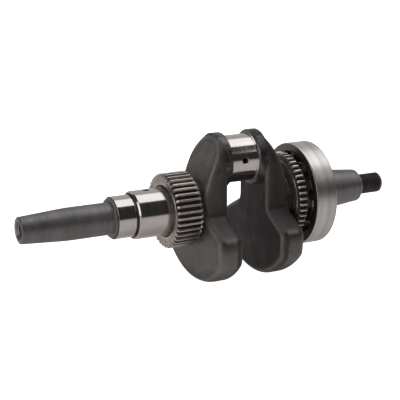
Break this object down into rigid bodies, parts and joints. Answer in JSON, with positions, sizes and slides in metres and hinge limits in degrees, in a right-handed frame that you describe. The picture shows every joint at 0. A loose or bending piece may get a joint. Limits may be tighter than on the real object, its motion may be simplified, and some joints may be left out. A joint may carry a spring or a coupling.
{
  "type": "crankshaft",
  "caption": "Single-throw engine crankshaft with counterweighted webs, spur gears, ball bearing, tapered ends and threaded stud.",
  "frame": {"origin": "on the main axis, in the middle of the ball bearing, where the crankcase holds its outer ring", "axes": "+X along the main axis toward the threaded flywheel end, +Z from the main axis to the crankpin at rest"},
  "size_m": [0.3061, 0.092, 0.1132],
  "materials": {
    "forged_steel": "dark oxide scale, satin; journals ground bright",
    "gear_steel": "satin, oiled tooth flanks",
    "bearing_steel": "fine ground",
    "ball_steel": "polished",
    "cage_steel": "pressed sheet",
    "key_steel": "plain drawn"
  },
  "bodies": {
    "outer_ring": {"bearing_outer_ring": "bearing_steel"},
    "crankshaft": {"crankshaft_forging": "forged_steel", "timing_gear": "gear_steel", "timing_gear_key": "key_steel", "balancer_gear": "gear_steel", "balancer_gear_key": "key_steel", "flywheel_key": "key_steel", "oil_gallery_plug": "key_steel", "bearing_inner_ring": "bearing_steel"},
    "cage": {"bearing_cage_left": "cage_steel", "bearing_cage_right": "cage_steel", "bearing_ball_1": "ball_steel", "bearing_ball_2": "ball_steel", "bearing_ball_3": "ball_steel", "bearing_ball_4": "ball_steel", "bearing_ball_5": "ball_steel", "bearing_ball_6": "ball_steel", "bearing_ball_7": "ball_steel", "bearing_ball_8": "ball_steel", "bearing_ball_9": "ball_steel", "cage_rivet_1": "cage_steel", "cage_rivet_2": "cage_steel", "cage_rivet_3": "cage_steel", "cage_rivet_4": "cage_steel", "cage_rivet_5": "cage_steel", "cage_rivet_6": "cage_steel", "cage_rivet_7": "cage_steel", "cage_rivet_8": "cage_steel", "cage_rivet_9": "cage_steel"}
  },
  "joints": [
    {"name": "crank_spin", "type": "hinge", "parent": "outer_ring", "child": "crankshaft", "pos_m": [0, 0, 0], "axis": [1, 0, 0], "continuous": true},
    {"name": "cage_spin", "type": "hinge", "parent": "outer_ring", "child": "cage", "pos_m": [0, 0, 0], "axis": [1, 0, 0], "continuous": true}
  ],
  "couplings": [
    {"joint": "cage_spin", "follows": "crank_spin", "ratio": 0.4}
  ]
}
